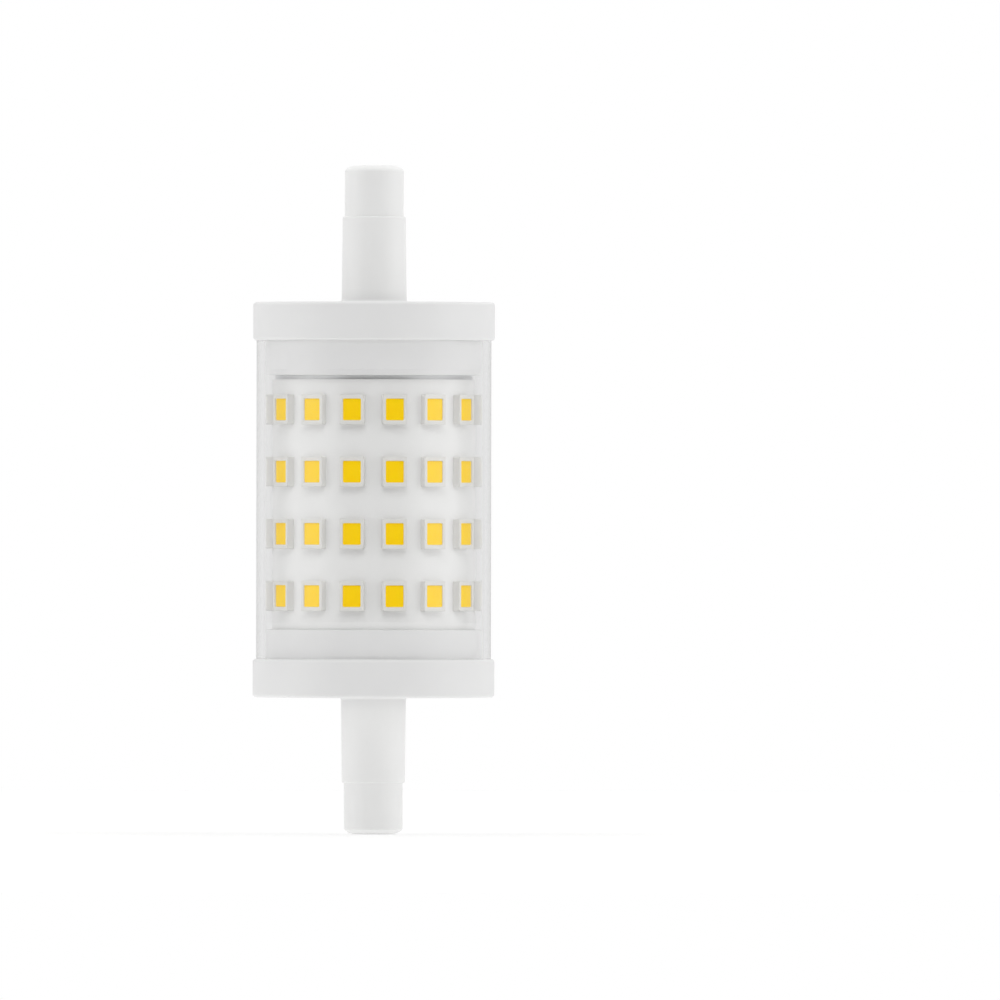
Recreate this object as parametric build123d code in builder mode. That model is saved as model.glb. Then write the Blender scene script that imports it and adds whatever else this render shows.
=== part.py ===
from build123d import *
from math import pi, radians, sqrt, tan
import os

# A double-ended linear LED lamp. A white cap closes each end of a clear tube and carries a recessed contact
# in a slim neck. Inside, a rolled board of LEDs is wrapped round an aluminium tube that holds the driver.
# Millimetres. Z is the lamp's axis, the origin is its middle, and the front is towards -Y.
os.makedirs("parts", exist_ok=True)

# Contact sleeve at each end, which enters the lamp holder
sleeve_diameter = 6.86
sleeve_length = 5.95
sleeve_dome_rise = 0.7
recess_diameter = 3.8
recess_depth = 1.55

# Neck between the sleeve and the flange
neck_step = 0.25
neck_step_ledge = 0.05
neck_taper = 0.11
neck_length = 10.0
neck_bore_diameter = 4.4
neck_root_fillet = 0.35

# Clear tube
tube_outer_diameter = 27.4
tube_wall = 0.95
tube_length = 37.1

# Flange that closes the tube, the spigot that centres it, and the seat of the core
flange_overhang = 0.4
flange_height = 4.5
flange_plate = 1.6
flange_edge_round = 0.4
upper_spigot_length = 4.05
lower_spigot_length = 3.45
spigot_fit_gap = 0.08
spigot_lead_in = 0.1
core_seat_rise = 1.0
core_seat_lip = 0.35
core_fit_gap = 0.1
core_end_gap = 0.05

# Contact rivet in the floor of the recess
contact_head_margin = 0.3
contact_head_thickness = 0.6
contact_shank_diameter = 1.5
contact_web = 1.6
contact_tail_diameter = 2.4
contact_tail_thickness = 0.35
contact_fit_gap = 0.05

# LED packages in rings round the board
led_width = 2.8
led_length = 3.5
led_height = 0.72
led_tube_gap = 0.1
led_column_pitch = 4.5
led_ring_pitch = 7.235
led_end_margin = 0.5
first_ring_drop = 4.0
cup_width = 2.15
cup_length = 2.6
phosphor_depth = 0.3
phosphor_recess = 0.12
cup_taper = 20

# Rolled LED board and the aluminium tube under it
led_board_thickness = 0.3
led_board_seam = 0.4
led_board_upper_gap = 0.48
led_board_lower_inset = 0.5
led_board_bond_film = 0.05
heat_sink_wall = 1.2

# Driver board and the guide rails in the caps that hold its ends
driver_board_thickness = 1.0
driver_edge_gap = 0.3
driver_end_gap = 0.2
guide_rail_thickness = 1.0
guide_rail_width = 8.0
guide_rail_length = 2.0
guide_fit_gap = 0.05
guide_bore_margin = 0.25
driver_part_margin = 0.8

# Parts on the driver board: width across the lamp, length along it, height off the board
fuse_diameter = 2.4
fuse_width = 6.5
fuse_end_round = 0.5
fuse_lead_diameter = 0.6
fuse_lead_reach = 1.0
fuse_lead_bend = 0.5
bridge_width = 4.0
bridge_length = 3.6
bridge_height = 1.6
bridge_edge_bevel = 0.3
bridge_leg_width = 0.6
bridge_leg_reach = 0.9
bridge_leg_thickness = 0.25
bridge_leg_pitch = 2.4
film_width = 8.0
film_length = 4.5
film_height = 6.0
film_edge_round = 0.6
choke_diameter = 6.0
choke_height = 6.0
choke_flange = 0.9
choke_core_diameter = 2.8
winding_inset = 0.4
winding_gap = 0.05
bulk_diameter = 6.3
bulk_height = 8.5
bulk_edge_round = 0.5
bulk_groove_rise = 1.0
bulk_groove_width = 0.6
bulk_groove_depth = 0.25
chip_width = 3.9
chip_length = 4.9
chip_height = 1.5
chip_edge_bevel = 0.3
chip_leg_width = 0.42
chip_leg_reach = 1.0
chip_leg_thickness = 0.22
chip_leg_pitch = 1.27
chip_legs_a_side = 4
diode_width = 4.3
diode_length = 2.6
diode_height = 2.2
diode_edge_bevel = 0.3
diode_tab_width = 1.4
diode_tab_reach = 0.5
diode_tab_thickness = 0.25

# Wires
lead_wire_diameter = 0.8
lead_bend_radius = 1.5
lead_pad_gap = 0.8
feed_wire_diameter = 0.7
feed_wire_spacing = 6.0
feed_hole_gap = 0.3

# Heights along the axis, from the lamp's middle towards either end
flange_bottom = tube_length / 2
flange_top = flange_bottom + flange_height
neck_top = flange_top + neck_length
lamp_end = neck_top + sleeve_length
contact_face = lamp_end - recess_depth
head_floor = contact_face - contact_head_thickness
web_bottom = head_floor - contact_web
plate_bottom = flange_top - flange_plate
core_seat = flange_bottom + core_seat_rise
window_top = flange_bottom - upper_spigot_length
window_bottom = lower_spigot_length - flange_bottom
led_board_top = window_top - led_board_upper_gap
led_board_bottom = led_board_lower_inset - core_seat
rail_end = plate_bottom - guide_rail_length
lead_turn = rail_end - lead_pad_gap - lead_wire_diameter / 2
driver_zone = lead_turn - lead_wire_diameter / 2 - driver_part_margin

# Radii, from the sleeve out and from the tube in
sleeve_radius = sleeve_diameter / 2
recess_radius = recess_diameter / 2
neck_tip_radius = sleeve_radius + neck_step
neck_root_radius = neck_tip_radius + neck_taper
shoulder_round = neck_step - neck_step_ledge
neck_bore_radius = neck_bore_diameter / 2
contact_head_radius = recess_radius - contact_head_margin
contact_shank_radius = contact_shank_diameter / 2
contact_tail_radius = contact_tail_diameter / 2
tube_radius = tube_outer_diameter / 2
tube_bore_radius = tube_radius - tube_wall
flange_radius = tube_radius + flange_overhang
spigot_radius = tube_bore_radius - spigot_fit_gap
led_corner_radius = tube_bore_radius - led_tube_gap
led_face_radius = sqrt(led_corner_radius**2 - (led_width / 2) ** 2)
board_radius = led_face_radius - led_height
board_inner_radius = board_radius - led_board_thickness
heat_sink_radius = board_inner_radius - led_board_bond_film
heat_sink_bore_radius = heat_sink_radius - heat_sink_wall
cap_cavity_radius = heat_sink_bore_radius - core_seat_lip

# The driver board stands behind the axis, clear of the neck bore, with its parts towards the front
front_rail_middle = neck_bore_radius + guide_bore_margin + guide_rail_thickness / 2
driver_front = front_rail_middle + guide_rail_thickness / 2 + guide_fit_gap
driver_back = driver_front + driver_board_thickness
back_rail_middle = driver_back + guide_fit_gap + guide_rail_thickness / 2
driver_width = 2 * sqrt((cap_cavity_radius - driver_edge_gap) ** 2 - driver_back**2)
driver_length = 2 * (plate_bottom - driver_end_gap)


def end_section(side):
    """Plane through the axis, with its height running to the upper end (1) or the lower end (-1)."""
    return Plane(origin=(0, 0, 0), x_dir=(1, 0, 0), z_dir=(0, -side, 0))


def board_front(height):
    """Plane on the driver board's front face, at this height."""
    return Plane(origin=(0, driver_front, height), x_dir=(1, 0, 0), z_dir=(0, -1, 0))


def board_back(height):
    """Plane on the driver board's back face, at this height."""
    return Plane(origin=(0, driver_back, height), x_dir=(-1, 0, 0), z_dir=(0, 1, 0))


def row_middles(lengths):
    """Middles of parts of these lengths, in one row with equal gaps over the driver board's free length."""
    gap = (2 * driver_zone - sum(lengths)) / (len(lengths) + 1)
    middles = []
    reached = -driver_zone
    for length in lengths:
        middles.append(reached + gap + length / 2)
        reached += gap + length
    return middles


front_row = [fuse_diameter, bridge_length, film_length, choke_diameter, bulk_diameter]
fuse_place, bridge_place, film_place, choke_place, bulk_place = row_middles(front_row)
feed_place, diode_place, chip_place = row_middles([feed_wire_diameter, diode_length, chip_length])

# Each end: a one-piece cap, its contact rivet, and the lead wire to the driver board. The upper cap seats
# the bare aluminium tube, because the LED board stops short of it. The lower cap takes the board in too.
upper_end = ("upper", 1, window_top, heat_sink_radius)
lower_end = ("lower", -1, -window_bottom, board_radius)
for end, side, spigot_end, core_radius in (upper_end, lower_end):
    core_socket_radius = core_radius + core_fit_gap
    dome_start = lamp_end - sleeve_dome_rise

    with BuildPart() as end_cap:
        # Outside: domed sleeve, tapered neck, flange with rounded edges, and spigot with a lead-in
        with BuildSketch(end_section(side)):
            with BuildLine():
                crest = Line((0, lamp_end), (recess_radius, lamp_end))
                dome_middle = (recess_radius, dome_start)
                dome_reach = sleeve_radius - recess_radius
                EllipticalCenterArc(dome_middle, dome_reach, sleeve_dome_rise, 0, arc_size=90)
                shoulder_middle = (neck_tip_radius - shoulder_round, neck_top - shoulder_round)
                shoulder = CenterArc(shoulder_middle, shoulder_round, 0, 90)
                Polyline((sleeve_radius, dome_start), (sleeve_radius, neck_top), shoulder @ 1)
                root_middle = (neck_root_radius + neck_root_fillet, flange_top + neck_root_fillet)
                root = CenterArc(root_middle, neck_root_fillet, 180, 90)
                Line(shoulder @ 0, root @ 0)
                flange_edge_radius = flange_radius - flange_edge_round
                upper_edge_middle = (flange_edge_radius, flange_top - flange_edge_round)
                upper_edge = CenterArc(upper_edge_middle, flange_edge_round, 0, 90)
                lower_edge_middle = (flange_edge_radius, flange_bottom + flange_edge_round)
                lower_edge = CenterArc(lower_edge_middle, flange_edge_round, 270, 90)
                Line(root @ 1, upper_edge @ 1)
                Line(upper_edge @ 0, lower_edge @ 1)
                Polyline(
                    lower_edge @ 0,
                    (spigot_radius, flange_bottom),
                    (spigot_radius, spigot_end + spigot_lead_in),
                    (spigot_radius - spigot_lead_in, spigot_end),
                    (0, spigot_end),
                    crest @ 0,
                )
            make_face()
        revolve(axis=Axis.Z)

        # Inside: recess, seat and hole of the rivet, neck bore, cavity, and the socket that seats the core
        with BuildSketch(end_section(side)):
            with BuildLine():
                Polyline(
                    (0, lamp_end),
                    (recess_radius, lamp_end),
                    (recess_radius, contact_face),
                    (contact_head_radius + contact_fit_gap, contact_face),
                    (contact_head_radius + contact_fit_gap, head_floor),
                    (contact_shank_radius + contact_fit_gap, head_floor),
                    (contact_shank_radius + contact_fit_gap, web_bottom),
                    (neck_bore_radius, web_bottom),
                    (neck_bore_radius, plate_bottom),
                    (cap_cavity_radius, plate_bottom),
                    (cap_cavity_radius, core_seat),
                    (core_socket_radius, core_seat),
                    (core_socket_radius, spigot_end),
                    (0, spigot_end),
                    close=True,
                )
            make_face()
        revolve(axis=Axis.Z, mode=Mode.SUBTRACT)

        # Two rails on the underside of the plate, with the driver board's end between them
        with BuildSketch(Plane.XY.offset(side * plate_bottom)):
            with Locations((0, front_rail_middle), (0, back_rail_middle)):
                Rectangle(guide_rail_width, guide_rail_thickness)
        extrude(amount=-side * guide_rail_length)
    end_cap.part.label = f"{end}_end_cap"
    export_step(end_cap.part, f"parts/{end}_end_cap.step")

    # Rivet: flat head in the recess floor, shank through the web, clenched tail below
    with BuildPart() as contact:
        with BuildSketch(end_section(side)):
            with BuildLine():
                Polyline(
                    (0, contact_face),
                    (contact_head_radius, contact_face),
                    (contact_head_radius, head_floor),
                    (contact_shank_radius, head_floor),
                    (contact_shank_radius, web_bottom),
                    (contact_tail_radius, web_bottom),
                    (contact_tail_radius, web_bottom - contact_tail_thickness),
                    (0, web_bottom - contact_tail_thickness),
                    close=True,
                )
            make_face()
        revolve(axis=Axis.Z)
    contact.part.label = f"{end}_contact"
    export_step(contact.part, f"parts/{end}_contact.step")

    # Lead wire: down the neck from the rivet's tail, then back to a pad on the driver board
    with BuildPart() as lead_wire:
        with BuildLine() as lead_route:
            FilletPolyline(
                (0, 0, side * (web_bottom - contact_tail_thickness)),
                (0, 0, side * lead_turn),
                (0, driver_front, side * lead_turn),
                radius=lead_bend_radius,
            )
        with BuildSketch(Plane(origin=lead_route.line @ 0, z_dir=lead_route.line % 0)):
            Circle(lead_wire_diameter / 2)
        sweep()
    lead_wire.part.label = f"{end}_lead_wire"
    export_step(lead_wire.part, f"parts/{end}_lead_wire.step")

# Clear tube, which butts against the undersides of both flanges
with BuildPart() as outer_tube:
    with BuildSketch():
        Circle(tube_radius)
        Circle(tube_bore_radius, mode=Mode.SUBTRACT)
    extrude(amount=tube_length / 2, both=True)
outer_tube.part.label = "outer_tube"
export_step(outer_tube.part, "parts/outer_tube.step")

# Aluminium tube between the core seats of both caps, drilled at the back for the feed wires
with BuildPart() as heat_sink_tube:
    with BuildSketch():
        Circle(heat_sink_radius)
        Circle(heat_sink_bore_radius, mode=Mode.SUBTRACT)
    extrude(amount=core_seat - core_end_gap, both=True)
    with BuildSketch(board_back(feed_place)):
        with GridLocations(feed_wire_spacing, 0, 2, 1):
            Circle(feed_wire_diameter / 2 + feed_hole_gap)
    extrude(amount=heat_sink_radius, mode=Mode.SUBTRACT)
heat_sink_tube.part.label = "heat_sink_tube"
export_step(heat_sink_tube.part, "parts/heat_sink_tube.step")

# Thin white board rolled round the aluminium tube, with its seam at the back
with BuildPart() as led_board:
    with BuildSketch(Plane.XY.offset(led_board_bottom)):
        Circle(board_radius)
        Circle(board_inner_radius, mode=Mode.SUBTRACT)
        Rectangle(led_board_seam, board_radius, align=(Align.CENTER, Align.MIN), mode=Mode.SUBTRACT)
    extrude(amount=led_board_top - led_board_bottom)
led_board.part.label = "led_board"
export_step(led_board.part, "parts/led_board.step")

# One LED package on the +X side: a body trimmed to the board's curve, with a tapered cup. The phosphor fills
# the cup up to a little below its rim.
led_base_radius = sqrt(board_radius**2 - (led_width / 2) ** 2)
led_face = Plane.YZ.offset(led_face_radius)
phosphor_pull = 2 * phosphor_recess * tan(radians(cup_taper))

with BuildPart() as led_package:
    with BuildSketch(led_face):
        Rectangle(led_width, led_length)
    extrude(amount=led_base_radius - led_face_radius)
    Cylinder(board_radius, led_length, mode=Mode.SUBTRACT)
    with BuildSketch(led_face):
        Rectangle(cup_width, cup_length)
    extrude(amount=-phosphor_recess - phosphor_depth, taper=cup_taper, mode=Mode.SUBTRACT)

with BuildPart() as led_phosphor:
    with BuildSketch(led_face.offset(-phosphor_recess)):
        Rectangle(cup_width - phosphor_pull, cup_length - phosphor_pull)
    extrude(amount=-phosphor_depth, taper=cup_taper)

# Rings of packages, as many as the window takes, evenly round the board with the seam between two columns
first_ring_height = window_top - first_ring_drop
ring_room = first_ring_height - window_bottom - led_length / 2 - led_end_margin
ring_count = 1 + int(ring_room / led_ring_pitch)
column_count = 2 * int(pi * board_radius / led_column_pitch)
first_column_angle = 180 / column_count - 90

for ring in range(ring_count):
    ring_height = first_ring_height - ring * led_ring_pitch

    with BuildPart() as package_ring:
        with Locations((0, 0, ring_height)):
            with PolarLocations(0, column_count, start_angle=first_column_angle):
                add(led_package.part)
    package_ring.part.label = f"led_packages_ring_{ring + 1}"
    export_step(package_ring.part, f"parts/led_packages_ring_{ring + 1}.step")

    with BuildPart() as phosphor_ring:
        with Locations((0, 0, ring_height)):
            with PolarLocations(0, column_count, start_angle=first_column_angle):
                add(led_phosphor.part)
    phosphor_ring.part.label = f"led_phosphor_ring_{ring + 1}"
    export_step(phosphor_ring.part, f"parts/led_phosphor_ring_{ring + 1}.step")

# Driver board, standing between the guide rails of both caps
with BuildPart() as driver_board:
    with BuildSketch(board_back(0)):
        Rectangle(driver_width, driver_length)
    extrude(amount=-driver_board_thickness)
driver_board.part.label = "driver_board"
export_step(driver_board.part, "parts/driver_board.step")

# Fusible resistor: lies across the board on two bent leads
fuse_axis_depth = driver_front - fuse_diameter / 2
with BuildPart() as fusible_resistor:
    with BuildSketch(Plane.YZ.offset(-fuse_width / 2)):
        with Locations((fuse_axis_depth, fuse_place)):
            Circle(fuse_diameter / 2)
    extrude(amount=fuse_width)
    fillet(fusible_resistor.edges().filter_by(GeomType.CIRCLE), radius=fuse_end_round)
    for across in (-1, 1):
        lead_foot = across * (fuse_width / 2 + fuse_lead_reach)
        with BuildLine() as fuse_lead_route:
            FilletPolyline(
                (across * fuse_width / 2, fuse_axis_depth, fuse_place),
                (lead_foot, fuse_axis_depth, fuse_place),
                (lead_foot, driver_front, fuse_place),
                radius=fuse_lead_bend,
            )
        with BuildSketch(Plane(origin=fuse_lead_route.line @ 0, z_dir=fuse_lead_route.line % 0)):
            Circle(fuse_lead_diameter / 2)
        sweep()
fusible_resistor.part.label = "fusible_resistor"
export_step(fusible_resistor.part, "parts/fusible_resistor.step")

# Bridge rectifier: a flat block with two legs on each side
with BuildPart() as bridge_rectifier:
    with BuildSketch(board_front(bridge_place)):
        Rectangle(bridge_width, bridge_length)
    extrude(amount=bridge_height)
    chamfer(bridge_rectifier.faces().sort_by(Axis.Y)[0].edges(), length=bridge_edge_bevel)
    with BuildSketch(board_front(bridge_place)):
        with GridLocations(0, bridge_leg_pitch, 1, 2):
            Rectangle(bridge_width + 2 * bridge_leg_reach, bridge_leg_width)
    extrude(amount=bridge_leg_thickness)
bridge_rectifier.part.label = "bridge_rectifier"
export_step(bridge_rectifier.part, "parts/bridge_rectifier.step")

# Film capacitor: a moulded box with rounded corners
with BuildPart() as film_capacitor:
    with BuildSketch(board_front(film_place)):
        RectangleRounded(film_width, film_length, film_edge_round)
    extrude(amount=film_height)
film_capacitor.part.label = "film_capacitor"
export_step(film_capacitor.part, "parts/film_capacitor.step")

# Drum choke: a ferrite drum that stands on the board, with its winding between the flanges
with BuildPart() as drum_choke:
    with BuildSketch(board_front(choke_place)):
        Circle(choke_diameter / 2)
    extrude(amount=choke_height)
    with BuildSketch(board_front(choke_place).offset(choke_flange)):
        Circle(choke_diameter / 2)
        Circle(choke_core_diameter / 2, mode=Mode.SUBTRACT)
    extrude(amount=choke_height - 2 * choke_flange, mode=Mode.SUBTRACT)
drum_choke.part.label = "drum_choke"
export_step(drum_choke.part, "parts/drum_choke.step")

with BuildPart() as choke_winding:
    with BuildSketch(board_front(choke_place).offset(choke_flange + winding_gap)):
        Circle(choke_diameter / 2 - winding_inset)
        Circle(choke_core_diameter / 2 + winding_gap, mode=Mode.SUBTRACT)
    extrude(amount=choke_height - 2 * choke_flange - 2 * winding_gap)
choke_winding.part.label = "choke_winding"
export_step(choke_winding.part, "parts/choke_winding.step")

# Bulk capacitor: a can that stands on the board, crimped near its foot
with BuildPart() as bulk_capacitor:
    with BuildSketch(board_front(bulk_place)):
        Circle(bulk_diameter / 2)
    extrude(amount=bulk_height)
    fillet(bulk_capacitor.faces().sort_by(Axis.Y)[0].edges(), radius=bulk_edge_round)
    with BuildSketch(board_front(bulk_place).offset(bulk_groove_rise)):
        Circle(bulk_diameter / 2)
        Circle(bulk_diameter / 2 - bulk_groove_depth, mode=Mode.SUBTRACT)
    extrude(amount=bulk_groove_width, mode=Mode.SUBTRACT)
bulk_capacitor.part.label = "bulk_capacitor"
export_step(bulk_capacitor.part, "parts/bulk_capacitor.step")

# Driver chip on the back: a flat block with a row of legs on each side
with BuildPart() as driver_chip:
    with BuildSketch(board_back(chip_place)):
        Rectangle(chip_width, chip_length)
    extrude(amount=chip_height)
    chamfer(driver_chip.faces().sort_by(Axis.Y)[-1].edges(), length=chip_edge_bevel)
    with BuildSketch(board_back(chip_place)):
        with GridLocations(0, chip_leg_pitch, 1, chip_legs_a_side):
            Rectangle(chip_width + 2 * chip_leg_reach, chip_leg_width)
    extrude(amount=chip_leg_thickness)
driver_chip.part.label = "driver_chip"
export_step(driver_chip.part, "parts/driver_chip.step")

# Output diode on the back: a moulded block with a tab at each end
with BuildPart() as output_diode:
    with BuildSketch(board_back(diode_place)):
        Rectangle(diode_width, diode_length)
    extrude(amount=diode_height)
    chamfer(output_diode.faces().sort_by(Axis.Y)[-1].edges(), length=diode_edge_bevel)
    with BuildSketch(board_back(diode_place)):
        Rectangle(diode_width + 2 * diode_tab_reach, diode_tab_width)
    extrude(amount=diode_tab_thickness)
output_diode.part.label = "output_diode"
export_step(output_diode.part, "parts/output_diode.step")

# Two feed wires from the driver board's back, through the aluminium tube, to the inside of the LED board
for polarity, across in (("positive", 1), ("negative", -1)):
    with BuildPart() as feed_wire:
        with BuildSketch(board_back(feed_place)):
            with Locations((across * feed_wire_spacing / 2, 0)):
                Circle(feed_wire_diameter / 2)
        extrude(amount=board_inner_radius)
        Cylinder(board_inner_radius, tube_length, mode=Mode.INTERSECT)
    feed_wire.part.label = f"led_feed_wire_{polarity}"
    export_step(feed_wire.part, f"parts/led_feed_wire_{polarity}.step")
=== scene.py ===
# %% [markdown]
# This lesson dresses a double-ended LED lamp: a clear tube with a white cap at each end, and rings
# of yellow LEDs inside. The lamp's solids come ready made, in metres, as a fixed frame. Blender
# adds what the frame lacks: smooth meshes with real edges, finishes, light and a camera. Nothing in
# the frame is moved.

# %% Open the frame
import bmesh
import bpy
import math
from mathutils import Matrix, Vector


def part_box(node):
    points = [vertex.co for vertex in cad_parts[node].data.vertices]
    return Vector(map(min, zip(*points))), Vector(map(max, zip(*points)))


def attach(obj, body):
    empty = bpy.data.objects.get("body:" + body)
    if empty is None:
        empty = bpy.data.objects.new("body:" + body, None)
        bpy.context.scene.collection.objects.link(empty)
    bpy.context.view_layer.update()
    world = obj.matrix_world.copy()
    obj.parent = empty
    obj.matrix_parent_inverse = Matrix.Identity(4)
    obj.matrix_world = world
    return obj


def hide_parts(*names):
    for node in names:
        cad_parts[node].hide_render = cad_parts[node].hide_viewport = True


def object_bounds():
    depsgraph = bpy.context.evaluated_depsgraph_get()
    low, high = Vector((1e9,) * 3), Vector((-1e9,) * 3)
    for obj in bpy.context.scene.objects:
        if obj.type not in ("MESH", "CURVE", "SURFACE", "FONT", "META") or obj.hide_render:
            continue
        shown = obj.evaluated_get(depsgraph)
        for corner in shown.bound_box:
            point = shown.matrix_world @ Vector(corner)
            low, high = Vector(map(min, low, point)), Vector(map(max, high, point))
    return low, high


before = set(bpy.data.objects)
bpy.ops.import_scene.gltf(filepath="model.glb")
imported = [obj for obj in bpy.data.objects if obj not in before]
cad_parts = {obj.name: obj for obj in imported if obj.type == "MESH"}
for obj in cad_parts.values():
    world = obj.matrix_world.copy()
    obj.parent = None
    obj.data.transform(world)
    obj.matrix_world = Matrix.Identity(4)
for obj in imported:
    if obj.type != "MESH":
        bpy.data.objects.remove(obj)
cad_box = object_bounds()
MM = 0.001
lamp_length = cad_box[1].z - cad_box[0].z
print(f"frame: {len(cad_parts)} nodes, lamp {lamp_length / MM:.1f} mm long")

# %% [markdown]
# A product picture of a small lamp is taken from far away with a long lens, so that its sides stay
# parallel. The camera stands level with the lamp's middle. Its lens follows from one proportion:
# how many of the picture's pixels the lamp's length takes up. In the picture the lamp leans by a
# tenth of a degree, so the camera is rolled by as much, and the lamp stays upright in its frame.

# %% Camera
PICTURE_SIDE = 1000
LAMP_PIXELS = 668.7
AXIS_PIXEL = 373.8
CAMERA_DISTANCE = 3.0
CAMERA_ROLL = math.radians(0.1)
SENSOR_WIDTH = 36.0
CAMERA_REACH = 20.0

view_width = lamp_length * PICTURE_SIDE / LAMP_PIXELS
view_middle = (PICTURE_SIDE / 2 - AXIS_PIXEL) / PICTURE_SIDE * view_width
bpy.ops.object.select_all(action="DESELECT")
bpy.ops.object.camera_add(
    location=(view_middle, -CAMERA_DISTANCE, 0), rotation=(math.pi / 2, -CAMERA_ROLL, 0)
)
camera = bpy.context.object
camera.data.sensor_width = SENSOR_WIDTH
camera.data.lens = SENSOR_WIDTH * CAMERA_DISTANCE / view_width
camera.data.clip_end = CAMERA_REACH
bpy.context.scene.camera = camera
bpy.context.scene.view_settings.view_transform = "Standard"
print(f"camera: lens {camera.data.lens:.0f} mm, view {view_width / MM:.1f} mm wide")

# %% [markdown]
# Every finish below is a small net of shader nodes. Four helpers keep the nets short. They turn a
# colour as it is written on a screen into the linear light that shaders work in, add a node with
# its properties and inputs, start a material, and turn a size in millimetres into the scale of a
# texture.

# %% Helpers for finishes
def screen_colour(code):
    """Linear colour of an sRGB hex code."""
    shares = [int(code[i : i + 2], 16) / 255 for i in (1, 3, 5)]
    return [s / 12.92 if s <= 0.04045 else ((s + 0.055) / 1.055) ** 2.4 for s in shares] + [1.0]


def add_node(tree, kind, inputs, **settings):
    """Adds one node. An input is a value, or the output of another node that is linked to it."""
    node = tree.nodes.new("ShaderNode" + kind)
    for name, value in settings.items():
        setattr(node, name, value)
    for name, value in inputs.items():
        if isinstance(value, bpy.types.NodeSocket):
            tree.links.new(value, node.inputs[name])
        else:
            node.inputs[name].default_value = value
    return node


def start_material(name):
    """A new material with its node tree, its surface shader and the lamp's own coordinates."""
    material = bpy.data.materials.new(name)
    material.use_nodes = True
    tree = material.node_tree
    place = add_node(tree, "TexCoord", {}).outputs["Object"]
    return material, tree, tree.nodes["Principled BSDF"], place


def per_metre(size_mm):
    """Texture scale at which a feature measures this many millimetres."""
    return 1 / (size_mm * MM)


print("finish helpers ready")

# %% [markdown]
# The studio is a tent of white cloth, lit from outside. It shows to the camera, in the plastic's
# gloss and through the clear tube. Its light is even all round, but weaker in front, where the tent
# is open for the lens, so that every edge that turns away from the lens is lighter than the middle.
# The Y of a direction says how far it points to the front, where it is -1.

# %% White tent
TENT_LIGHT = 0.8
FRONT_LIGHT = 0.18
OPENING_FROM = -0.9
OPENING_TO = -0.5

world = bpy.data.worlds.new("white_tent")
bpy.context.scene.world = world
world.use_nodes = True
world_tree = world.node_tree
world_tree.nodes.clear()
ray = add_node(world_tree, "LightPath", {})
camera_or_gloss = add_node(
    world_tree, "Math",
    {0: ray.outputs["Is Camera Ray"], 1: ray.outputs["Is Glossy Ray"]},
    operation="MAXIMUM",
)
seen = add_node(
    world_tree, "Math",
    {0: camera_or_gloss.outputs[0], 1: ray.outputs["Is Transmission Ray"]},
    operation="MAXIMUM",
)
direction = add_node(world_tree, "TexCoord", {}).outputs["Generated"]
depth = add_node(world_tree, "SeparateXYZ", {"Vector": direction})
cloth = add_node(
    world_tree, "MapRange",
    {
        "Value": depth.outputs["Y"], "From Min": OPENING_FROM, "From Max": OPENING_TO,
        "To Min": FRONT_LIGHT, "To Max": TENT_LIGHT,
    },
    interpolation_type="SMOOTHSTEP",
)
lit = add_node(
    world_tree, "Background", {"Color": (1, 1, 1, 1), "Strength": cloth.outputs["Result"]}
)
white = add_node(world_tree, "Background", {"Color": (1, 1, 1, 1), "Strength": 1.0})
surroundings = add_node(
    world_tree, "MixShader", {0: seen.outputs[0], 1: lit.outputs[0], 2: white.outputs[0]}
)
add_node(world_tree, "OutputWorld", {"Surface": surroundings.outputs[0]})
print(f"tent: white, lighting strength {TENT_LIGHT}, {FRONT_LIGHT} in front")

# %% [markdown]
# Soft boxes add the rest: one at each side, three for the caps, which stand level with the lens,
# overhead and under the table, and one above the lens for the LEDs, which gives each ledge and each
# LED a short shadow below it. They only give light. What the gloss and the tube mirror is the tent,
# and the cards further on.

# %% Soft boxes
def add_soft_box(name, place, size, brightness):
    """Adds a rectangular light that faces the lamp. A brightness of 1 is a white surface's."""
    bpy.ops.object.select_all(action="DESELECT")
    bpy.ops.object.light_add(type="AREA", location=place)
    box = bpy.context.object
    box.name = name
    box.rotation_euler = (-Vector(place)).to_track_quat("-Z", "Y").to_euler()
    box.data.shape = "RECTANGLE"
    box.data.size, box.data.size_y = size
    box.data.energy = brightness * math.pi * size[0] * size[1]
    box.visible_camera = False
    box.visible_glossy = False
    box.visible_transmission = False
    return box


add_soft_box("left_soft_box", place=(-1.0, -0.15, 0.05), size=(0.8, 1.0), brightness=1.0)
add_soft_box("right_soft_box", place=(1.0, -0.15, 0.05), size=(0.8, 1.0), brightness=1.25)
cap_front = add_soft_box(
    "cap_front_soft_box", place=(0, -1.2, 0.05), size=(1.0, 0.5), brightness=1.15
)
cap_above = add_soft_box(
    "cap_overhead_soft_box", place=(0, -0.05, 1.0), size=(0.8, 0.8), brightness=1.5
)
cap_below = add_soft_box(
    "cap_under_table_soft_box", place=(0, -0.05, -1.0), size=(0.8, 0.8), brightness=1.4
)
led_front = add_soft_box("led_soft_box", place=(0, -0.85, 0.9), size=(0.9, 0.75), brightness=2.4)
print("soft boxes: left, right, three for the caps and one for the LEDs")

# %% [markdown]
# A clear tube mirrors and bends whatever stands round it. In a studio that is steered with cards:
# black in front, so that no haze lies over the LEDs, pale at both sides of the lens, which lays two
# broad highlights on the tube, grey beside the lamp, which draws the tube's edges, and pale behind.
# Here the cards are one band round the lamp, with a tone for each angle from the lens. Only gloss
# and clear parts see it. A thin pale strip runs round it above and below, at the heights that the
# tube mirrors over the caps' spigots, so that it doesn't darken them. What shows straight through
# the tube stands behind it from any side, so for light that nothing has mirrored yet, the front
# half of the band has the tones of the back half.

# %% Tones of the cards
RING_RADIUS = 1.5
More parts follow.
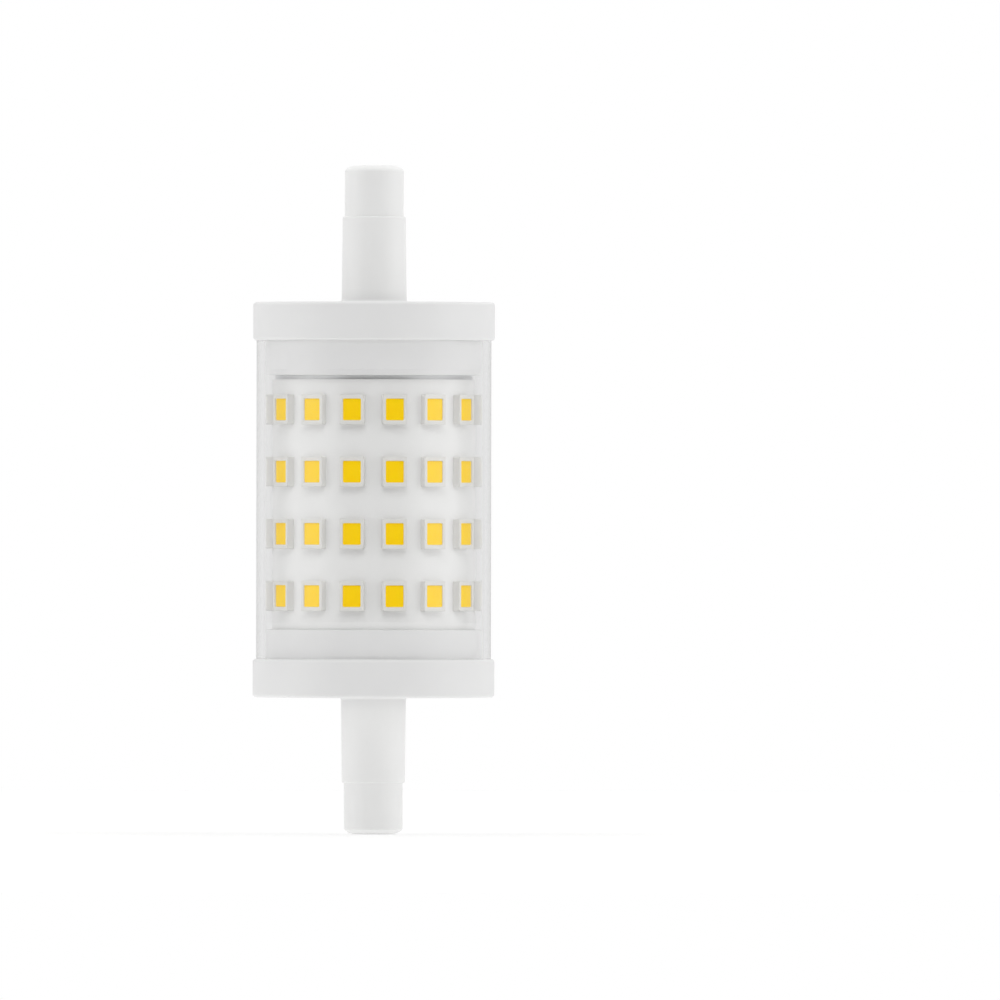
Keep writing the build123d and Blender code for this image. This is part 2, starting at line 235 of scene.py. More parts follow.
# Each pair is an angle from the lens, in degrees, and the tone of the cards there
RING_TONES = ((0, 0.01), (22, 0.01), (58, 0.6), (86, 0.72), (106, 0.3), (142, 0.8), (180, 0.8))
STRIP_TONE = 0.75
BEFORE_FIRST_MIRROR = 0.5
mirror_rise = 1 + RING_RADIUS / CAMERA_DISTANCE
strip_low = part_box("upper_end_cap")[0].z * mirror_rise
strip_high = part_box("outer_tube")[1].z * mirror_rise

card_finish, tree, shader, place = start_material("ring_of_cards")
depth = add_node(tree, "SeparateXYZ", {"Vector": place})
ray = add_node(tree, "LightPath", {})
unmirrored = add_node(
    tree, "Math", {0: ray.outputs["Glossy Depth"], 1: BEFORE_FIRST_MIRROR}, operation="LESS_THAN"
)
behind = add_node(tree, "Math", {0: depth.outputs["Y"]}, operation="ABSOLUTE")
seen_at = add_node(
    tree, "Mix", {"Factor": unmirrored.outputs[0], "A": depth.outputs["Y"], "B": behind.outputs[0]}
)
share = add_node(
    tree, "MapRange",
    {"Value": seen_at.outputs["Result"], "From Min": -RING_RADIUS, "From Max": RING_RADIUS},
)
tones = add_node(tree, "ValToRGB", {"Fac": share.outputs["Result"]})
tones.color_ramp.interpolation = "EASE"
stops = tones.color_ramp.elements
while len(stops) < len(RING_TONES):
    stops.new(0.5)
for stop, (degrees, tone) in zip(stops, RING_TONES):
    stop.position = (1 - math.cos(math.radians(degrees))) / 2
    stop.color = (tone, tone, tone, 1)
height = add_node(tree, "Math", {0: depth.outputs["Z"]}, operation="ABSOLUTE")
in_strip = add_node(
    tree, "Math",
    {0: height.outputs[0], 1: (strip_low + strip_high) / 2, 2: (strip_high - strip_low) / 2},
    operation="COMPARE",
)
strip = add_node(tree, "Math", {0: in_strip.outputs[0], 1: STRIP_TONE}, operation="MULTIPLY")
card = add_node(tree, "Math", {0: tones.outputs["Color"], 1: strip.outputs[0]}, operation="MAXIMUM")
tree.links.new(card.outputs[0], shader.inputs["Emission Color"])
shader.inputs["Emission Strength"].default_value = 1.0
shader.inputs["Base Color"].default_value = (0, 0, 0, 1)
shader.inputs["Specular IOR Level"].default_value = 0.0
print(f"cards: {len(RING_TONES)} tones, strips {strip_low / MM:.1f} to {strip_high / MM:.1f} mm up")

# %% Ring of cards
RING_HEIGHT = 0.9
RING_SEGMENTS = 96

bpy.ops.object.select_all(action="DESELECT")
bpy.ops.mesh.primitive_cylinder_add(
    vertices=RING_SEGMENTS, radius=RING_RADIUS, depth=RING_HEIGHT, end_fill_type="NOTHING"
)
cards = bpy.context.object
cards.name = "ring_of_cards"
cards.data.materials.append(card_finish)
cards.visible_camera = False
cards.visible_diffuse = False
cards.visible_shadow = False
print(f"ring of cards: {RING_HEIGHT} m high, {RING_RADIUS} m away")

# %% [markdown]
# The floor is a plain pale sheet just under the lamp's tip, lit from below like a light table, so
# that the lamp's lower end isn't darker than its upper end. To the camera that glow grows with the
# distance from the lamp. The sheet then fades into its white surroundings and keeps the lamp's soft
# shadow round the tip.

# %% Floor
FLOOR_SIDE = 0.9
PAPER_TOOTH = 1.5
TABLE_GLOW = 0.25
EDGE_GLOW = 0.06
GLOW_FROM = 0.005
GLOW_TO = 0.04

floor_finish, tree, shader, place = start_material("pale_paper")
tooth = add_node(tree, "TexNoise", {"Vector": place, "Scale": per_metre(PAPER_TOOTH)})
paper = add_node(tree, "ValToRGB", {"Fac": tooth.outputs["Fac"]})
paper.color_ramp.elements[0].color = screen_colour("#EFEFEF")
paper.color_ramp.elements[1].color = screen_colour("#F4F4F4")
tree.links.new(paper.outputs["Color"], shader.inputs["Base Color"])
shader.inputs["Roughness"].default_value = 0.9
shader.inputs["Specular IOR Level"].default_value = 0.0
shader.inputs["Emission Color"].default_value = (1, 1, 1, 1)
from_lamp = add_node(tree, "VectorMath", {0: place}, operation="LENGTH")
to_white = add_node(
    tree, "MapRange",
    {
        "Value": from_lamp.outputs["Value"], "From Min": GLOW_FROM, "From Max": GLOW_TO,
        "To Max": EDGE_GLOW,
    },
)
ray = add_node(tree, "LightPath", {})
glow = add_node(
    tree, "Math",
    {0: ray.outputs["Is Camera Ray"], 1: to_white.outputs["Result"], 2: TABLE_GLOW},
    operation="MULTIPLY_ADD",
)
tree.links.new(glow.outputs[0], shader.inputs["Emission Strength"])

bpy.ops.object.select_all(action="DESELECT")
bpy.ops.mesh.primitive_plane_add(size=FLOOR_SIDE, location=(0, 0, cad_box[0].z))
floor = bpy.context.object
floor.name = "floor"
floor.data.materials.append(floor_finish)
print(f"floor: {FLOOR_SIDE} m square at {cad_box[0].z / MM:.1f} mm")

# %% [markdown]
# The caps are moulded in white PBT, a tough lamp plastic with a satin skin. Its white is never
# quite even, so a slow noise moves it by a shade. The slim neck and sleeve are also painted a
# shade lighter than the wide flange. That is painted light, because the moulding is one white
# throughout. A fine grain breaks up the gloss. The real grain of a spark-eroded mould is about
# 0.05 mm, too fine to show here, so it is drawn at 0.2 mm.

# %% White cap plastic
CAP_GRAIN = 0.2
CAP_MOTTLE = 5.0
MOTTLE_SHARE = 0.4
# Painted light: how much lighter the neck and sleeve are painted, and how far above the tube's end,
# in mm, it starts and fades in
NECK_PAINTED_LIGHT = 0.6
PAINTED_LIGHT_START = 4.0
PAINTED_LIGHT_FADE = 2.0
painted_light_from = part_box("outer_tube")[1].z + PAINTED_LIGHT_START * MM
painted_light_to = painted_light_from + PAINTED_LIGHT_FADE * MM

cap_plastic, tree, shader, place = start_material("white_pbt_satin_moulded")
mottle = add_node(
    tree, "TexNoise", {"Vector": place, "Scale": per_metre(CAP_MOTTLE), "Detail": 3.0}
)
axis = add_node(tree, "SeparateXYZ", {"Vector": place})
from_middle = add_node(tree, "Math", {0: axis.outputs["Z"]}, operation="ABSOLUTE")
# Painted light: a share that lightens the colour from the flange's top over the neck and sleeve
painted_neck_light = add_node(
    tree, "MapRange",
    {
        "Value": from_middle.outputs[0], "From Min": painted_light_from, "From Max": painted_light_to,
        "To Max": NECK_PAINTED_LIGHT,
    },
)
# The noise's random tone plus the painted light on the neck and sleeve
mottle_and_painted_light = add_node(
    tree, "Math",
    {0: mottle.outputs["Fac"], 1: MOTTLE_SHARE, 2: painted_neck_light.outputs["Result"]},
    operation="MULTIPLY_ADD",
)
# Two whites, picked by the random tone and by the painted light on the neck
white_tone_and_painted_light = add_node(tree, "ValToRGB", {"Fac": mottle_and_painted_light.outputs[0]})
white_tone_and_painted_light.color_ramp.elements[0].color = screen_colour("#E2E2E2")
white_tone_and_painted_light.color_ramp.elements[1].color = screen_colour("#EFEFEE")
tree.links.new(white_tone_and_painted_light.outputs["Color"], shader.inputs["Base Color"])
grain = add_node(tree, "TexNoise", {"Vector": place, "Scale": per_metre(CAP_GRAIN), "Detail": 2.0})
satin = add_node(tree, "MapRange", {"Value": grain.outputs["Fac"], "To Min": 0.38, "To Max": 0.48})
tree.links.new(satin.outputs["Result"], shader.inputs["Roughness"])
skin = add_node(
    tree, "Bump", {"Height": grain.outputs["Fac"], "Strength": 0.08, "Distance": 0.02 * MM}
)
tree.links.new(skin.outputs["Normal"], shader.inputs["Normal"])
shader.inputs["IOR"].default_value = 1.5
print("finish:", cap_plastic.name)

# %% [markdown]
# The tube is drawn polycarbonate, clear and colourless. To the camera it is real glass that bends
# and mirrors. Lamps and scattered light pass it as if it weren't there, which keeps the inside
# bright and free of speckle. Drawing leaves faint streaks along the tube, so the bump is a noise
# stretched along the axis.

# %% Clear polycarbonate
STREAK_WIDTH = 1.2
STREAK_STRETCH = 0.03

clear_plastic, tree, shader, place = start_material("clear_polycarbonate_drawn")
shader.inputs["Base Color"].default_value = (1, 1, 1, 1)
shader.inputs["Transmission Weight"].default_value = 1.0
shader.inputs["IOR"].default_value = 1.55
shader.inputs["Roughness"].default_value = 0.0
along = add_node(tree, "Mapping", {"Vector": place, "Scale": (1, 1, STREAK_STRETCH)})
streaks = add_node(
    tree, "TexNoise", {"Vector": along.outputs["Vector"], "Scale": per_metre(STREAK_WIDTH)}
)
drawn = add_node(
    tree, "Bump", {"Height": streaks.outputs["Fac"], "Strength": 0.015, "Distance": 0.01 * MM}
)
tree.links.new(drawn.outputs["Normal"], shader.inputs["Normal"])
ray = add_node(tree, "LightPath", {})
open_way = add_node(tree, "BsdfTransparent", {})
for_scatter = add_node(
    tree, "MixShader",
    {0: ray.outputs["Is Diffuse Ray"], 1: shader.outputs[0], 2: open_way.outputs[0]},
)
for_lamps = add_node(
    tree, "MixShader",
    {0: ray.outputs["Is Shadow Ray"], 1: for_scatter.outputs[0], 2: open_way.outputs[0]},
)
tree.links.new(for_lamps.outputs[0], tree.nodes["Material Output"].inputs["Surface"])
print("finish:", clear_plastic.name)

# %% [markdown]
# The LED board is covered with white solder mask, a glossy ink that is baked on. It settles with a
# slight orange peel, about a third of a millimetre across, and that is all the relief it shows.

# %% White solder mask
PEEL_SIZE = 0.35
MASK_MOTTLE = 4.0

solder_mask, tree, shader, place = start_material("white_solder_mask_baked")
tint = add_node(tree, "TexNoise", {"Vector": place, "Scale": per_metre(MASK_MOTTLE), "Detail": 2.0})
mask_white = add_node(tree, "ValToRGB", {"Fac": tint.outputs["Fac"]})
mask_white.color_ramp.elements[0].color = screen_colour("#E8E8E7")
mask_white.color_ramp.elements[1].color = screen_colour("#EDEDEC")
tree.links.new(mask_white.outputs["Color"], shader.inputs["Base Color"])
peel = add_node(tree, "TexNoise", {"Vector": place, "Scale": per_metre(PEEL_SIZE), "Detail": 1.0})
ink = add_node(tree, "MapRange", {"Value": peel.outputs["Fac"], "To Min": 0.28, "To Max": 0.40})
tree.links.new(ink.outputs["Result"], shader.inputs["Roughness"])
peel_relief = add_node(
    tree, "Bump", {"Height": peel.outputs["Fac"], "Strength": 0.06, "Distance": 0.02 * MM}
)
tree.links.new(peel_relief.outputs["Normal"], shader.inputs["Normal"])
print("finish:", solder_mask.name)

# %% [markdown]
# Each LED sits in a body of white, heat-proof nylon, a little warmer and duller than the board.

# %% LED body plastic
BODY_MOTTLE = 1.5

led_plastic, tree, shader, place = start_material("white_led_nylon_moulded")
tint = add_node(tree, "TexNoise", {"Vector": place, "Scale": per_metre(BODY_MOTTLE), "Detail": 2.0})
body_white = add_node(tree, "ValToRGB", {"Fac": tint.outputs["Fac"]})
body_white.color_ramp.elements[0].color = screen_colour("#DEDDD9")
body_white.color_ramp.elements[1].color = screen_colour("#E4E3E0")
tree.links.new(body_white.outputs["Color"], shader.inputs["Base Color"])
dull = add_node(tree, "MapRange", {"Value": tint.outputs["Fac"], "To Min": 0.42, "To Max": 0.55})
tree.links.new(dull.outputs["Result"], shader.inputs["Roughness"])
print("finish:", led_plastic.name)

# %% [markdown]
# The yellow squares are silicone filled with phosphor powder. Phosphor answers the blue in daylight
# with a yellow of its own, so it looks brighter than paint of that colour would. A little emission
# stands for that. The powder is fine and even, so the noise only shifts the yellow slightly.

# %% Yellow phosphor
PHOSPHOR_GLOW = 0.09
POWDER_PATCH = 0.9

phosphor, tree, shader, place = start_material("yellow_phosphor_silicone")
powder = add_node(
    tree, "TexNoise", {"Vector": place, "Scale": per_metre(POWDER_PATCH), "Detail": 4.0}
)
yellow = add_node(tree, "ValToRGB", {"Fac": powder.outputs["Fac"]})
yellow.color_ramp.elements[0].color = screen_colour("#FCD600")
yellow.color_ramp.elements[1].color = screen_colour("#FCCC00")
tree.links.new(yellow.outputs["Color"], shader.inputs["Base Color"])
tree.links.new(yellow.outputs["Color"], shader.inputs["Emission Color"])
shader.inputs["Emission Strength"].default_value = PHOSPHOR_GLOW
shader.inputs["Roughness"].default_value = 0.2
shader.inputs["Specular IOR Level"].default_value = 0.4
print("finish:", phosphor.name)

# %% [markdown]
# The contact at each end is a nickel-plated brass rivet. Its face was turned, so very fine rings
# run round its middle. They are drawn 0.3 mm apart here, about five times as coarse as the tool
# leaves them.

# %% Nickel plate
RING_SPACING = 0.3
WAVE_RATE = 20 / (2 * math.pi)  # rings that a wave node draws in one unit at a scale of 1

nickel, tree, shader, place = start_material("nickel_plate_turned")
rings = add_node(
    tree, "TexWave",
    {"Vector": place, "Scale": per_metre(RING_SPACING) / WAVE_RATE, "Distortion": 0.4},
    wave_type="RINGS", rings_direction="Z",
)
nickel_shade = add_node(tree, "ValToRGB", {"Fac": rings.outputs["Fac"]})
nickel_shade.color_ramp.elements[0].color = screen_colour("#BDB8AE")
nickel_shade.color_ramp.elements[1].color = screen_colour("#D0CCC3")
tree.links.new(nickel_shade.outputs["Color"], shader.inputs["Base Color"])
shader.inputs["Metallic"].default_value = 1.0
shader.inputs["Roughness"].default_value = 0.24
turned = add_node(
    tree, "Bump", {"Height": rings.outputs["Fac"], "Strength": 0.15, "Distance": 0.005 * MM}
)
tree.links.new(turned.outputs["Normal"], shader.inputs["Normal"])
print("finish:", nickel.name)

# %% [markdown]
# The core is an aluminium tube as it comes from the draw bench. Die marks run along it, so the
# noise is drawn out along the axis. Only a narrow ring of it shows, above the LED board.

# %% Drawn aluminium
DIE_MARK = 0.15
DIE_STRETCH = 0.02

aluminium, tree, shader, place = start_material("aluminium_tube_drawn")
along = add_node(tree, "Mapping", {"Vector": place, "Scale": (1, 1, DIE_STRETCH)})
marks = add_node(
    tree, "TexNoise",
    {"Vector": along.outputs["Vector"], "Scale": per_metre(DIE_MARK), "Detail": 3.0},
)
metal_shade = add_node(tree, "ValToRGB", {"Fac": marks.outputs["Fac"]})
metal_shade.color_ramp.elements[0].color = screen_colour("#F0F1F2")
metal_shade.color_ramp.elements[1].color = screen_colour("#F7F7F8")
tree.links.new(metal_shade.outputs["Color"], shader.inputs["Base Color"])
drawn_finish = add_node(
    tree, "MapRange", {"Value": marks.outputs["Fac"], "To Min": 0.36, "To Max": 0.46}
)
tree.links.new(drawn_finish.outputs["Result"], shader.inputs["Roughness"])
shader.inputs["Metallic"].default_value = 1.0
print("finish:", aluminium.name)

# %% [markdown]
# The driver sits inside the core, out of sight. Its parts keep the frame's own meshes and only need
# finishes. All of these are a mottle of two shades and a gloss that moves with it, so one helper
# makes them.

# %% Finishes of the driver
def mottled(name, dark, light, size_mm, glossiest, dullest):
    """A finish with patches of this size in two shades, and a roughness between two values."""
    finish, tree, shader, place = start_material(name)
    patches = add_node(
        tree, "TexNoise", {"Vector": place, "Scale": per_metre(size_mm), "Detail": 3.0}
    )
    shades = add_node(tree, "ValToRGB", {"Fac": patches.outputs["Fac"]})
    shades.color_ramp.elements[0].color = screen_colour(dark)
    shades.color_ramp.elements[1].color = screen_colour(light)
    tree.links.new(shades.outputs["Color"], shader.inputs["Base Color"])
    gloss = add_node(
        tree, "MapRange", {"Value": patches.outputs["Fac"], "To Min": glossiest, "To Max": dullest}
    )
    tree.links.new(gloss.outputs["Result"], shader.inputs["Roughness"])
    return finish


green_board = mottled("green_solder_mask_baked", "#47915A", "#509A63", 0.6, 0.3, 0.45)
resistor_coating = mottled("green_flameproof_coating", "#86AD92", "#90B79B", 0.4, 0.5, 0.65)
black_epoxy = mottled("black_epoxy_moulded", "#2C2C2C", "#343434", 0.3, 0.45, 0.6)
film_box = mottled("red_brown_epoxy_dipped", "#BE5E49", "#C8674F", 0.8, 0.2, 0.35)
ferrite = mottled("ferrite_sintered", "#454545", "#4F4F4F", 0.15, 0.55, 0.7)
copper_enamel = mottled("enamelled_copper_wound", "#C58450", "#D0905A", 0.2, 0.25, 0.4)
can_sleeve = mottled("dark_blue_shrink_sleeve", "#3C4158", "#444A63", 1.0, 0.2, 0.3)
white_pvc = mottled("white_wire_insulation", "#EBEBE7", "#F0F0EC", 0.5, 0.4, 0.5)
red_pvc = mottled("red_wire_insulation", "#C43632", "#CE3D38", 0.5, 0.4, 0.5)
black_pvc = mottled("black_wire_insulation", "#2E2E2E", "#363636", 0.5, 0.4, 0.5)

driver_finishes = {
    "driver_board": green_board,
    "fusible_resistor": resistor_coating,
    "bridge_rectifier": black_epoxy,
    "film_capacitor": film_box,
    "drum_choke": ferrite,
    "choke_winding": copper_enamel,
    "bulk_capacitor": can_sleeve,
    "driver_chip": black_epoxy,
    "output_diode": black_epoxy,
    "upper_lead_wire": white_pvc,
    "lower_lead_wire": white_pvc,
    "led_feed_wire_positive": red_pvc,
    "led_feed_wire_negative": black_pvc,
}
for node, finish in driver_finishes.items():
    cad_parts[node].data.materials.clear()
    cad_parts[node].data.materials.append(finish)
print(f"driver: {len(driver_finishes)} nodes finished")

# %% [markdown]
# Now the modelling. Every piece starts as a primitive at its size and place. In edit mode its edges
# and faces are chosen by where they lie, and shaped with extrude, inset, bevel and the like. These
# helpers hold the steps that every piece needs.

# %% Helpers for modelling
NEAR = 0.004 * MM
MERGE_WITHIN = NEAR / 10
SMOOTH_ANGLE = math.radians(40)
SMALL_PART_ANGLE = math.radians(35)


def open_piece(name):
    """Opens the primitive just added for editing, with its size and place put into its mesh."""
    piece = bpy.context.object
    piece.name = name
    piece.data.name = name
    bpy.ops.object.transform_apply(location=True, rotation=True, scale=True)
    bpy.ops.object.mode_set(mode="EDIT")
    return piece


def pick(piece, kind, test):
    """Selects only the verts, edges or faces whose corner points pass the test."""
    bpy.ops.mesh.select_mode(type={"verts": "VERT", "edges": "EDGE", "faces": "FACE"}[kind])
    bpy.ops.mesh.select_all(action="DESELECT")
    mesh = bmesh.from_edit_mesh(piece.data)
    for part in getattr(mesh, kind):
        corners = [part.co] if kind == "verts" else [corner.co for corner in part.verts]
        if test(corners):
            part.select_set(True)
    bmesh.update_edit_mesh(piece.data)


def on_ring(radius, height):
    """A test for pick: every corner lies on the ring of this radius and height."""
    return lambda corners: all(
        abs(math.hypot(c.x, c.y) - radius) < NEAR and abs(c.z - height) < NEAR for c in corners
    )


def close_piece(piece, smooth_angle):
    """Merges doubles, turns faces outwards, leaves edit mode and smooths up to this angle."""
    bpy.ops.mesh.select_all(action="SELECT")
    bpy.ops.mesh.remove_doubles(threshold=MERGE_WITHIN)
    bpy.ops.mesh.normals_make_consistent(inside=False)
    bpy.ops.object.mode_set(mode="OBJECT")
    bpy.ops.object.shade_smooth_by_angle(angle=smooth_angle)


def apply_modifier(piece, kind, **settings):
    """Adds one modifier with these settings and applies it."""
    modifier = piece.modifiers.new(kind.lower(), kind)
    for name, value in settings.items():
        setattr(modifier, name, value)
    bpy.ops.object.modifier_apply(modifier=modifier.name)


def dress(piece, finish, node):
    """Gives a piece its finish, lets it ride on the lamp, and hides the node that it stands for."""
    piece.data.materials.append(finish)
    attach(piece, "root")
    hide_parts(node)
    piece.data.calc_loop_triangles()
    print(f"{piece.name}: {len(piece.data.loop_triangles)} triangles")


print("modelling helpers ready")

# %% [markdown]
# A cap is one moulding: a domed sleeve with a recess for the contact, a slim neck, a wide flange
# that closes the tube, and a spigot inside the tube. It could be spun from a drawn outline. Here a
# circle is extruded ring by ring and resized, as on a lathe, because each ring can then be named by
# what it is on the cap. Corners are left sharp at first and rounded afterwards with bevel, which
# gives true arcs.

# %% Sizes of the caps
sleeve_radius = 3.43 * MM
sleeve_length = 5.95 * MM
dome_rise = 0.7 * MM
recess_radius = 1.9 * MM
recess_mouth_round = 0.12 * MM
neck_tip_radius = 3.68 * MM
neck_root_radius = 3.79 * MM
shoulder_round = 0.2 * MM
root_round = 0.35 * MM
neck_bore_radius = 2.2 * MM
flange_height = 4.5 * MM
flange_plate = 1.6 * MM
flange_round = 0.4 * MM
spigot_radius = 12.67 * MM
spigot_lead_in = 0.1 * MM
core_fit_gap = 0.1 * MM
cap_cavity_radius = 9.95 * MM
core_seat_rise = 1.0 * MM
rivet_hole_gap = 0.05 * MM
rivet_head = 0.6 * MM
rivet_shank_radius = 0.75 * MM
rivet_web = 1.6 * MM
rail_width = 8.0 * MM
rail_thickness = 1.0 * MM
rail_length = 2.0 * MM
rail_root = 0.2 * MM
rail_gap = 0.05 * MM

lamp_end = cad_box[1].z
flange_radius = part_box("upper_end_cap")[1].x
flange_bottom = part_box("outer_tube")[1].z
flange_top = flange_bottom + flange_height
neck_top = lamp_end - sleeve_length
contact_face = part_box("upper_contact")[1].z
rivet_head_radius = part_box("upper_contact")[1].x
head_floor = contact_face - rivet_head
web_bottom = head_floor - rivet_web
plate_bottom = flange_top - flange_plate
core_seat = flange_bottom + core_seat_rise
neck_length = neck_top - flange_top
print(f"cap: flange {2 * flange_radius / MM:.1f} mm wide, neck {neck_length / MM:.1f} mm long")

# %% A lathe for round pieces
TURN_SEGMENTS = 144


def turn(name, outline, side):
    """Extrudes a ring along (radius, height) points, with heights going up (1) or down (-1)."""
    radius, height = outline[0]
    bpy.ops.object.select_all(action="DESELECT")
    bpy.ops.mesh.primitive_circle_add(
        vertices=TURN_SEGMENTS, radius=radius, location=(0, 0, side * height)
    )
    piece = open_piece(name)
    bpy.ops.mesh.select_all(action="SELECT")
    for next_radius, next_height in outline[1:]:
        rise = side * (next_height - height)
        bpy.ops.mesh.extrude_region_move(TRANSFORM_OT_translate={"value": (0, 0, rise)})
        share = next_radius / radius
        bpy.ops.transform.resize(
            value=(share, share, 1), center_override=(0, 0, side * next_height)
        )
        radius, height = next_radius, next_height
    return piece


def round_ring(piece, radius, height, size, steps):
    """Rounds the sharp ring at this radius and height."""
    pick(piece, "edges", on_ring(radius, height))
    bpy.ops.mesh.bevel(
        offset=size, offset_type="OFFSET", segments=steps, profile=0.5, affect="EDGES"
    )


print(f"lathe: {TURN_SEGMENTS} segments a turn")

# %% Outline of a cap
DOME_STEPS = 10


def cap_outline(spigot_end, socket_radius):
    """Corners of a cap's section, from the socket's mouth round the outside and back inside."""
    outside = [
        (socket_radius, spigot_end),
        (spigot_radius - spigot_lead_in, spigot_end),
        (spigot_radius, spigot_end + spigot_lead_in),
        (spigot_radius, flange_bottom),
        (flange_radius, flange_bottom),
        (flange_radius, flange_top),
        (neck_root_radius, flange_top),
        (neck_tip_radius, neck_top),
        (sleeve_radius, neck_top),
    ]
    dome = []
    for step in range(DOME_STEPS + 1):
        turn_angle = math.pi / 2 * step / DOME_STEPS
        reach = (sleeve_radius - recess_radius) * math.cos(turn_angle)
        rise = dome_rise * math.sin(turn_angle)
        dome.append((recess_radius + reach, lamp_end - dome_rise + rise))
    inside = [
        (recess_radius, contact_face),
        (rivet_head_radius + rivet_hole_gap, contact_face),
        (rivet_head_radius + rivet_hole_gap, head_floor),
        (rivet_shank_radius + rivet_hole_gap, head_floor),
        (rivet_shank_radius + rivet_hole_gap, web_bottom),
        (neck_bore_radius, web_bottom),
        (neck_bore_radius, plate_bottom),
        (cap_cavity_radius, plate_bottom),
        (cap_cavity_radius, core_seat),
        (socket_radius, core_seat),
    ]
    return outside + dome + inside


print(f"cap outline: {len(cap_outline(0, recess_radius))} rings")

# %% [markdown]
# The upper cap seats the bare core, and the lower cap takes in the LED board round it, so their
# sockets differ. Inside each cap two short rails hold the end of the driver board. They are blocks
# joined to the moulding, rooted a little in its plate.

# %% Both caps
caps = []
driver_low, driver_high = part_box("driver_board")
for end, side, seated in (("upper", 1, "heat_sink_tube"), ("lower", -1, "led_board")):
    low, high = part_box(f"{end}_end_cap")
    spigot_end = low.z if side > 0 else -high.z
    socket_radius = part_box(seated)[1].x + core_fit_gap
    cap = turn(f"{end}_cap_moulding", cap_outline(spigot_end, socket_radius), side)
    socket_mouth = on_ring(socket_radius, side * spigot_end)
    socket_floor = on_ring(socket_radius, side * core_seat)
    pick(cap, "edges", lambda corners: socket_mouth(corners) or socket_floor(corners))
    bpy.ops.mesh.bridge_edge_loops()
    round_ring(cap, flange_radius, side * flange_bottom, flange_round, steps=6)
    round_ring(cap, flange_radius, side * flange_top, flange_round, steps=6)
    round_ring(cap, neck_root_radius, side * flange_top, root_round, steps=5)
    round_ring(cap, neck_tip_radius, side * neck_top, shoulder_round, steps=5)
    round_ring(cap, recess_radius, side * lamp_end, recess_mouth_round, steps=3)
    close_piece(cap, SMOOTH_ANGLE)
    for rail_face in (driver_low.y - rail_gap - rail_thickness, driver_high.y + rail_gap):
        bpy.ops.object.select_all(action="DESELECT")
        rail_middle = plate_bottom + (rail_root - rail_length) / 2
        bpy.ops.mesh.primitive_cube_add(
            size=1, location=(0, rail_face + rail_thickness / 2, side * rail_middle)
        )
        bpy.context.object.scale = (rail_width, rail_thickness, rail_length + rail_root)
        rail = open_piece("guide_rail")
        close_piece(rail, SMOOTH_ANGLE)
        cap.select_set(True)
        bpy.context.view_layer.objects.active = cap
        bpy.ops.object.join()
    apply_modifier(cap, "WEIGHTED_NORMAL", keep_sharp=True)
    dress(cap, cap_plastic, f"{end}_end_cap")
    caps.append(cap)

# %% [markdown]
# The rivet's head fills the floor of the recess. It is turned on the same lathe, with a soft edge
# round its face, a shank through the web and a clenched tail. Its ends are filled flat.

# %% Contacts
rivet_tail_radius = 1.2 * MM
rivet_edge = 0.15 * MM
rivet_tail_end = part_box("upper_contact")[0].z

for end, side in (("upper", 1), ("lower", -1)):
    rivet_outline = [
        (rivet_head_radius, contact_face),
        (rivet_head_radius, head_floor),
        (rivet_shank_radius, head_floor),
        (rivet_shank_radius, web_bottom),
        (rivet_tail_radius, web_bottom),
        (rivet_tail_radius, rivet_tail_end),
    ]
    rivet = turn(f"{end}_contact_rivet", rivet_outline, side)
    for radius, height in (rivet_outline[0], rivet_outline[-1]):
        pick(rivet, "edges", on_ring(radius, side * height))
        bpy.ops.mesh.edge_face_add()
        round_ring(rivet, radius, side * height, rivet_edge, steps=3)
    close_piece(rivet, SMOOTH_ANGLE)
    apply_modifier(rivet, "WEIGHTED_NORMAL", keep_sharp=True)
    dress(rivet, nickel, f"{end}_contact")
    caps.append(rivet)

# %% [markdown]
# The tube is a plain drawn pipe, and what makes it look real is its wall: two surfaces that each
# bend the light. An open cylinder gets that wall from Solidify, and a small bevel takes the edge
# off its cut ends. Each end stops a hair short of its flange, because two faces in one place would
# speckle.

# %% Clear tube
TUBE_SEGMENTS = 320
tube_wall = 0.95 * MM
tube_edge = 0.02 * MM
tube_edge_angle = math.radians(60)
tube_end_air = 0.01 * MM
tube_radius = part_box("outer_tube")[1].x

bpy.ops.object.select_all(action="DESELECT")
bpy.ops.mesh.primitive_cylinder_add(
    vertices=TUBE_SEGMENTS, radius=tube_radius, depth=2 * (flange_bottom - tube_end_air),
    end_fill_type="NOTHING",
)
tube = open_piece("clear_tube")
bpy.ops.object.mode_set(mode="OBJECT")
apply_modifier(tube, "SOLIDIFY", thickness=tube_wall, offset=-1, use_even_offset=True)
apply_modifier(tube, "BEVEL", width=tube_edge, segments=2, angle_limit=tube_edge_angle)
bpy.ops.object.shade_smooth_by_angle(angle=SMOOTH_ANGLE)
apply_modifier(tube, "WEIGHTED_NORMAL", keep_sharp=True)
dress(tube, clear_plastic, "outer_tube")

# %% [markdown]
# The core is a shorter pipe of aluminium. Two holes at its back let the LED board's feed wires
# through. They are drilled with Boolean, by two pins that are removed afterwards.

# %% Core tube
CORE_SEGMENTS = 192
PIN_SEGMENTS = 32
core_wall = 1.2 * MM
wire_hole_gap = 0.3 * MM
core_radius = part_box("heat_sink_tube")[1].x
core_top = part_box("heat_sink_tube")[1].z

